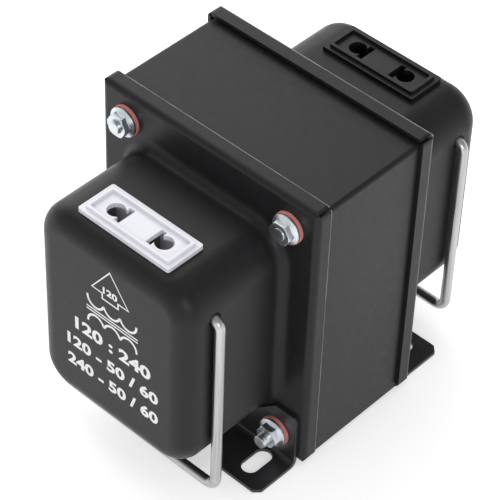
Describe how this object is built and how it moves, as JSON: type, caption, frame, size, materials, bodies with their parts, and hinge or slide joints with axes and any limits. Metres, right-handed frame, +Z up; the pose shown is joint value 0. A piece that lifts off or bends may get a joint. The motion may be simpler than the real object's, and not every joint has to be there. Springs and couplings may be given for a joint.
{
  "type": "travel voltage converter",
  "caption": "Bolted transformer in a black steel case with drawn end bells, a plug outlet on each bell, hinged wire bails and slotted foot rails.",
  "frame": {"origin": "at floor level under the middle of the core, midway between the two end bells", "axes": "+Z up; -Y towards the end bell with the white outlet; X from side to side, along the coil and the bail pivots"},
  "size_m": [0.085, 0.128, 0.1042],
  "materials": {
    "black_case": "matte black powder coat with a fine grain",
    "black_foot": "satin black paint",
    "lamination_steel": "oxidised silicon steel sheet edges",
    "former_nylon": "natural nylon",
    "enamelled_copper": "enamelled copper wire",
    "polyester_tape": "yellow polyester tape",
    "white_plastic": "smooth moulded plastic, slightly glossy",
    "black_plastic": "smooth moulded plastic, slightly glossy",
    "contact_brass": "spring brass strip",
    "lead_sheath": "PVC wire sheath",
    "drawn_wire": "bright drawn steel wire with lengthwise draw marks",
    "zinc_steel": "clear zinc plate",
    "red_fibre": "red vulcanised fibre",
    "sleeve_tube": "varnished paper tube"
  },
  "bodies": {
    "case": {"front_bell": "black_case", "rear_bell": "black_case", "core_cover": "black_case", "core_e_stack": "lamination_steel", "core_i_stack": "lamination_steel", "coil_former": "former_nylon", "inner_winding": "enamelled_copper", "layer_insulation": "polyester_tape", "outer_winding": "enamelled_copper", "outer_insulation": "polyester_tape", "thermal_cutout": "black_plastic", "front_outlet_face": "white_plastic", "rear_outlet_face": "black_plastic", "front_outlet_base": "white_plastic", "rear_outlet_base": "black_plastic", "front_contact_left": "contact_brass", "front_contact_right": "contact_brass", "rear_contact_left": "contact_brass", "rear_contact_right": "contact_brass", "front_lead_left": "lead_sheath", "front_lead_right": "lead_sheath", "rear_lead_left": "lead_sheath", "rear_lead_right": "lead_sheath", "tie_bolts_upper": "zinc_steel", "tie_bolts_lower": "zinc_steel", "tie_nuts": "zinc_steel", "front_washers": "red_fibre", "rear_washers": "red_fibre", "bolt_sleeves": "sleeve_tube", "front_foot_rail": "black_foot", "rear_foot_rail": "black_foot"},
    "front_bail": {"front_bail": "drawn_wire", "front_bail_clips": "zinc_steel"},
    "rear_bail": {"rear_bail": "drawn_wire", "rear_bail_clips": "zinc_steel"}
  },
  "joints": [
    {"name": "front_bail_swing", "type": "hinge", "parent": "case", "child": "front_bail", "pos_m": [0, -0.053, 0.0764], "axis": [-1, 0, 0], "range_deg": [-12, 215]},
    {"name": "rear_bail_swing", "type": "hinge", "parent": "case", "child": "rear_bail", "pos_m": [0, 0.053, 0.0764], "axis": [1, 0, 0], "range_deg": [-12, 215]}
  ]
}
